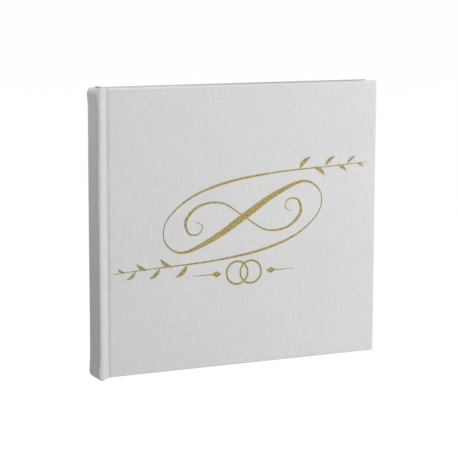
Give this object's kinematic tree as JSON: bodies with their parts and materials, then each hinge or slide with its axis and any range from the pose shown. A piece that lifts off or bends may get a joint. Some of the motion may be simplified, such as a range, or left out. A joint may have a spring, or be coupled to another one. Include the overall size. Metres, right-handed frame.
{
  "type": "guest book",
  "caption": "Square case-bound book in pale linen with a flat spine, hinged boards, sewn leaves and a gold foil ornament on the front.",
  "frame": {"origin": "middle of the footprint, on the surface that the book stands on", "axes": "+X from the spine to the fore edge, -Y out of the front cover, +Z from tail to head"},
  "size_m": [0.228, 0.021, 0.21],
  "materials": {
    "book_cloth": "matte fine linen weave",
    "gold_foil": "satin foil broken by the weave",
    "greyboard": "rough grey board",
    "endpaper": "smooth uncoated",
    "page_paper": "smooth uncoated",
    "gauze": "open glued gauze",
    "kraft_paper": "fibrous kraft",
    "thread": "waxed linen thread",
    "band_silk": "woven silk bead"
  },
  "bodies": {
    "spine": {"spine_board": "greyboard", "spine_cloth": "book_cloth", "spine_liner": "kraft_paper", "mull": "gauze", "sewing_thread": "thread", "headband": "band_silk", "tailband": "band_silk"},
    "front_cover": {"front_board": "greyboard", "front_cloth": "book_cloth", "front_mull_flange": "gauze", "front_pastedown": "endpaper", "foil_ornament": "gold_foil"},
    "back_cover": {"back_board": "greyboard", "back_cloth": "book_cloth", "back_mull_flange": "gauze", "back_pastedown": "endpaper"},
    "front_leaf": {"front_flyleaf": "endpaper"},
    "back_leaf": {"back_flyleaf": "endpaper"},
    "leaves_1": {"section_1": "page_paper"},
    "leaves_2": {"section_2": "page_paper"},
    "leaves_3": {"section_3": "page_paper"},
    "leaves_4": {"section_4": "page_paper"},
    "leaves_5": {"section_5": "page_paper"},
    "leaves_6": {"section_6": "page_paper"},
    "leaves_7": {"section_7": "page_paper"},
    "leaves_8": {"section_8": "page_paper"}
  },
  "joints": [
    {"name": "front_cover_hinge", "type": "hinge", "parent": "spine", "child": "front_cover", "pos_m": [-0.1128, -0.01053, 0.105], "axis": [0, 0, -1], "range_deg": [0, 175]},
    {"name": "back_cover_hinge", "type": "hinge", "parent": "spine", "child": "back_cover", "pos_m": [-0.1128, 0.01053, 0.105], "axis": [0, 0, 1], "range_deg": [0, 175]},
    {"name": "front_flyleaf_turn", "type": "hinge", "parent": "spine", "child": "front_leaf", "pos_m": [-0.1095, -0.0099, 0.105], "axis": [0, 0, -1], "range_deg": [0, 157.5]},
    {"name": "leaves_1_turn", "type": "hinge", "parent": "spine", "child": "leaves_1", "pos_m": [-0.1095, -0.0099, 0.105], "axis": [0, 0, -1], "range_deg": [0, 122.5]},
    {"name": "leaves_2_turn", "type": "hinge", "parent": "spine", "child": "leaves_2", "pos_m": [-0.1095, -0.0099, 0.105], "axis": [0, 0, -1], "range_deg": [0, 87.5]},
    {"name": "leaves_3_turn", "type": "hinge", "parent": "spine", "child": "leaves_3", "pos_m": [-0.1095, -0.0099, 0.105], "axis": [0, 0, -1], "range_deg": [0, 52.5]},
    {"name": "leaves_4_turn", "type": "hinge", "parent": "spine", "child": "leaves_4", "pos_m": [-0.1095, -0.0099, 0.105], "axis": [0, 0, -1], "range_deg": [0, 17.5]},
    {"name": "leaves_5_turn", "type": "hinge", "parent": "spine", "child": "leaves_5", "pos_m": [-0.1095, 0.0099, 0.105], "axis": [0, 0, 1], "range_deg": [0, 17.5]},
    {"name": "leaves_6_turn", "type": "hinge", "parent": "spine", "child": "leaves_6", "pos_m": [-0.1095, 0.0099, 0.105], "axis": [0, 0, 1], "range_deg": [0, 52.5]},
    {"name": "leaves_7_turn", "type": "hinge", "parent": "spine", "child": "leaves_7", "pos_m": [-0.1095, 0.0099, 0.105], "axis": [0, 0, 1], "range_deg": [0, 87.5]},
    {"name": "leaves_8_turn", "type": "hinge", "parent": "spine", "child": "leaves_8", "pos_m": [-0.1095, 0.0099, 0.105], "axis": [0, 0, 1], "range_deg": [0, 122.5]},
    {"name": "back_flyleaf_turn", "type": "hinge", "parent": "spine", "child": "back_leaf", "pos_m": [-0.1095, 0.0099, 0.105], "axis": [0, 0, 1], "range_deg": [0, 157.5]}
  ],
  "couplings": [
    {"joint": "front_flyleaf_turn", "follows": "front_cover_hinge", "ratio": 0.9},
    {"joint": "leaves_1_turn", "follows": "front_cover_hinge", "ratio": 0.7},
    {"joint": "leaves_2_turn", "follows": "front_cover_hinge", "ratio": 0.5},
    {"joint": "leaves_3_turn", "follows": "front_cover_hinge", "ratio": 0.3},
    {"joint": "leaves_4_turn", "follows": "front_cover_hinge", "ratio": 0.1},
    {"joint": "leaves_5_turn", "follows": "back_cover_hinge", "ratio": 0.1},
    {"joint": "leaves_6_turn", "follows": "back_cover_hinge", "ratio": 0.3},
    {"joint": "leaves_7_turn", "follows": "back_cover_hinge", "ratio": 0.5},
    {"joint": "leaves_8_turn", "follows": "back_cover_hinge", "ratio": 0.7},
    {"joint": "back_flyleaf_turn", "follows": "back_cover_hinge", "ratio": 0.9}
  ]
}
